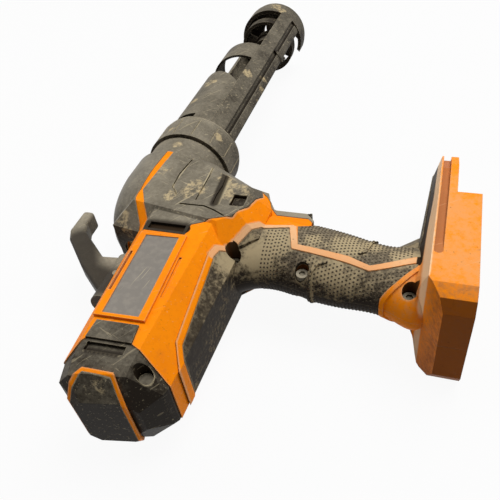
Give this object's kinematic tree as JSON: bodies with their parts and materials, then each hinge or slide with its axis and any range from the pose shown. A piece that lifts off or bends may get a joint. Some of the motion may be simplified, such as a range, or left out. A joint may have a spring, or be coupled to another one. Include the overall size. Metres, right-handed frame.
{
  "type": "cordless caulking tool",
  "caption": "Pistol-grip cordless caulking tool: rack rod and plunger driven through a gear train, half-open cartridge cradle that turns on a collar, bare battery foot.",
  "frame": {"origin": "middle of the footprint, on the surface that the tool lies on with its left side down", "axes": "+X down the handle to the battery foot, +Y forward along the push rod, +Z to the tool's right side (up as it lies)"},
  "size_m": [0.2342, 0.4192, 0.066],
  "materials": {
    "orange_plastic": "moulded, scuffed",
    "black_plastic": "moulded, dusty",
    "black_rubber": "dimpled, dirty",
    "label_film": "bare film",
    "steel": "turned",
    "grey_plastic": "moulded",
    "cast_alloy": "cast",
    "bronze": "plain"
  },
  "bodies": {
    "housing": {"right_shell": "orange_plastic", "left_shell": "orange_plastic", "right_case_skin": "black_plastic", "left_case_skin": "black_plastic", "right_side_panel": "black_plastic", "left_side_panel": "black_plastic", "right_grip_skin": "black_rubber", "left_grip_skin": "black_rubber", "right_front_pad": "black_rubber", "left_front_pad": "black_rubber", "right_front_strip": "black_plastic", "left_front_strip": "black_plastic", "rear_cap": "black_plastic", "cap_trim": "orange_plastic", "rating_plate": "label_film", "nose_barrel": "black_plastic", "retaining_ring": "steel", "front_bush": "bronze", "rear_bush": "bronze", "gearbox": "cast_alloy", "motor": "steel", "motor_bracket": "grey_plastic", "drive_bearings": "steel", "cross_bearings": "steel", "switch_body": "black_plastic", "terminal_block": "black_plastic", "contact_blades": "bronze", "foot_bumper": "black_rubber", "housing_screws": "steel", "cap_screws": "steel"},
    "rod": {"rack_rod": "steel", "plunger": "grey_plastic", "plunger_screw": "steel", "pull_hook": "black_plastic", "hook_pin": "steel"},
    "carriage": {"collar": "black_plastic", "cradle": "black_plastic"},
    "trigger": {"trigger": "black_plastic"},
    "lock": {"lock_button": "black_plastic"},
    "output": {"bevel_pinion": "steel"},
    "cross": {"bevel_gear": "steel", "drive_pinion": "steel", "cross_shaft": "steel"},
    "drive": {"drive_gear": "steel", "rack_pinion": "steel", "drive_shaft": "steel"}
  },
  "joints": [
    {"name": "rod_slide", "type": "slide", "parent": "housing", "child": "rod", "axis": [0, 1, 0], "range_m": [-0.2, 0]},
    {"name": "drive_shaft_spin", "type": "hinge", "parent": "housing", "child": "drive", "pos_m": [-0.05577, -0.06601, 0.033], "axis": [0, 0, 1], "range_deg": [-2, 1275.2]},
    {"name": "cross_shaft_spin", "type": "hinge", "parent": "housing", "child": "cross", "pos_m": [-0.03486, -0.08387, 0.033], "axis": [0, 0, 1], "range_deg": [-2730.4, 2]},
    {"name": "output_spin", "type": "hinge", "parent": "housing", "child": "output", "pos_m": [-0.03486, -0.08387, 0.033], "axis": [-0.0436, 0.999, 0], "range_deg": [-2, 5458.7]},
    {"name": "carriage_turn", "type": "hinge", "parent": "housing", "child": "carriage", "pos_m": [-0.06837, -0.01341, 0.033], "axis": [0, 1, 0], "continuous": true},
    {"name": "trigger_pull", "type": "slide", "parent": "housing", "child": "trigger", "axis": [0, -1, 0], "range_m": [0, 0.006], "stiffness_N_per_m": 500, "springref_m": -0.006},
    {"name": "lock_press", "type": "slide", "parent": "housing", "child": "lock", "axis": [0, 0, 1], "range_m": [0, 0.004]}
  ],
  "couplings": [
    {"joint": "drive_shaft_spin", "follows": "rod_slide", "rad_per_m": -111.11},
    {"joint": "cross_shaft_spin", "follows": "rod_slide", "rad_per_m": 238.1},
    {"joint": "output_spin", "follows": "rod_slide", "rad_per_m": -476.19}
  ]
}
